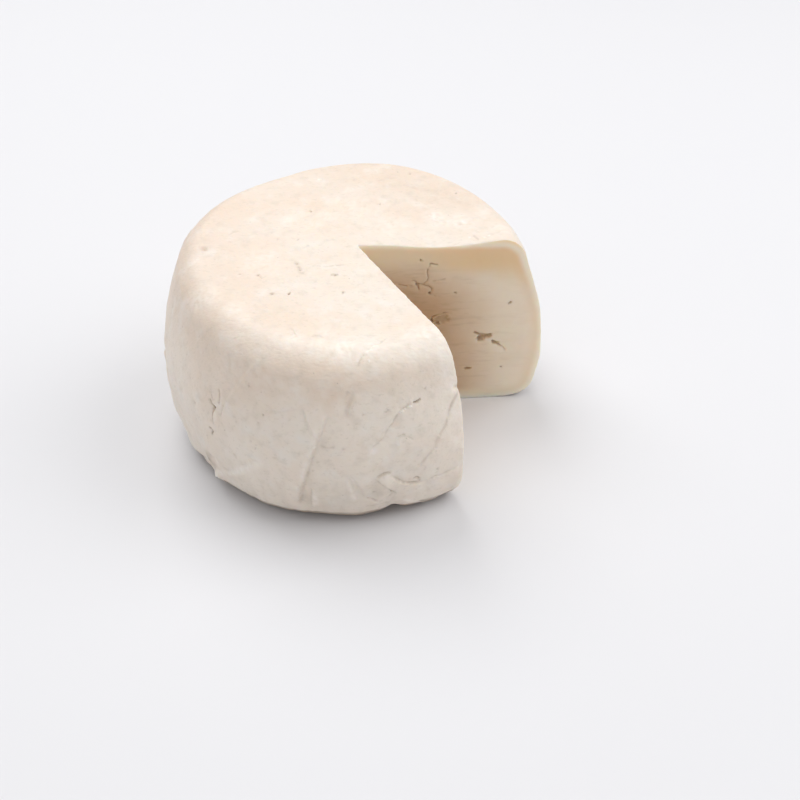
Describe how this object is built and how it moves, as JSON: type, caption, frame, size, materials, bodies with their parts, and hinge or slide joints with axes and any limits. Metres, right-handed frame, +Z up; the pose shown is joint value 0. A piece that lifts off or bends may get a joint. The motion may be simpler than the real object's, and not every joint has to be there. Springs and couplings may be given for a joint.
{
  "type": "aged goat cheese wheel with a notch",
  "caption": "Small low round of aged goat cheese with a dry ivory rind and a wedge-shaped notch cut from rim to middle.",
  "frame": {"origin": "on the surface it rests on, under the middle of the round's box", "axes": "+Z up; the notch opens towards +X, between +X and 59 degrees towards -Y"},
  "size_m": [0.1344, 0.129, 0.073],
  "materials": {
    "cheese": "dry satin rind, smooth close paste"
  },
  "bodies": {
    "root": {"cheese_wheel": "cheese"}
  },
  "joints": []
}
